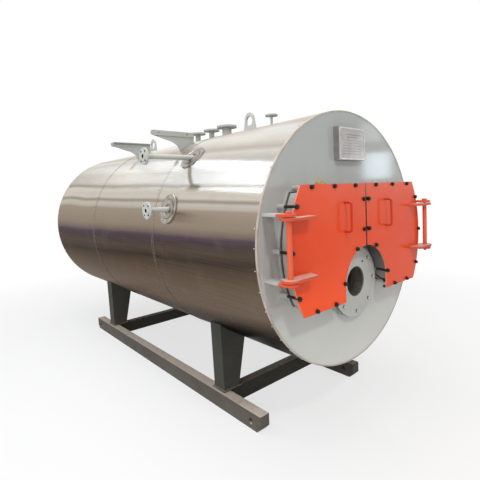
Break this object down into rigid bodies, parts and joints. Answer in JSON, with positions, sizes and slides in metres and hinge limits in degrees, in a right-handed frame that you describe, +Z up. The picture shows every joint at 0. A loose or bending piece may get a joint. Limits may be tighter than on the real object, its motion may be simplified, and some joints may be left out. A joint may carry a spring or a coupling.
{
  "type": "gas boiler",
  "caption": "Horizontal fire-tube gas boiler: stainless-clad drum on a steel skid, round front plate, hinged smoke-box doors round a burner port, flanged branches on top.",
  "frame": {"origin": "on the floor, under the drum's axis, at the middle of the front cross beam", "axes": "+X to the right as seen facing the doors, +Y from the burner end to the flue end, +Z up"},
  "size_m": [1.736, 3.928, 2.164],
  "materials": {
    "stainless": "brushed, mirror-like sheet",
    "skid_grey": "satin dark grey paint",
    "refractory": "cast refractory",
    "boiler_steel": "sooty mill steel",
    "door_orange": "gloss orange-red paint",
    "light_grey": "semi-gloss light grey paint"
  },
  "bodies": {
    "boiler": {"burner_flange": "light_grey", "burner_throat": "refractory", "cladding_front": "stainless", "cladding_middle": "stainless", "cladding_rear": "stainless", "flue_outlet": "light_grey", "front_plate": "light_grey", "front_safety_valve_branch": "light_grey", "front_tube_plate": "boiler_steel", "furnace_tube": "boiler_steel", "hinge_brackets_left": "door_orange", "hinge_brackets_right": "door_orange", "hinge_pin_left": "door_orange", "hinge_pin_right": "door_orange", "leg_front_left": "skid_grey", "leg_front_right": "skid_grey", "leg_rear_left": "skid_grey", "leg_rear_right": "skid_grey", "level_branch_lower": "light_grey", "level_branch_upper": "light_grey", "level_collar_lower": "stainless", "level_collar_upper": "stainless", "lifting_lug_front": "light_grey", "lifting_lug_rear": "light_grey", "nameplate_box": "stainless", "platform_bracket_front": "light_grey", "platform_bracket_rear": "light_grey", "pressure_gauge_branch": "light_grey", "rear_access_cover": "light_grey", "rear_plate": "light_grey", "rear_safety_valve_branch": "light_grey", "skid_cross_beam_front": "skid_grey", "skid_cross_beam_rear": "skid_grey", "skid_rail_left": "skid_grey", "skid_rail_right": "skid_grey", "smoke_box": "light_grey", "steam_outlet": "light_grey", "vessel_rear_end": "boiler_steel", "vessel_shell": "boiler_steel"},
    "left_door": {"left_door_handle": "door_orange", "left_door_hinge_arms": "door_orange", "left_door_hinge_tube": "door_orange", "left_door_lining": "refractory", "left_door_panel": "door_orange"},
    "right_door": {"right_door_handle": "door_orange", "right_door_hinge_arms": "door_orange", "right_door_hinge_tube": "door_orange", "right_door_lining": "refractory", "right_door_panel": "door_orange"}
  },
  "joints": [
    {"name": "left_door_hinge", "type": "hinge", "parent": "boiler", "child": "left_door", "pos_m": [-0.723, -0.919, 1.21], "axis": [0, 0, -1], "range_deg": [0, 110]},
    {"name": "right_door_hinge", "type": "hinge", "parent": "boiler", "child": "right_door", "pos_m": [0.723, -0.919, 1.21], "axis": [0, 0, 1], "range_deg": [0, 110]}
  ]
}
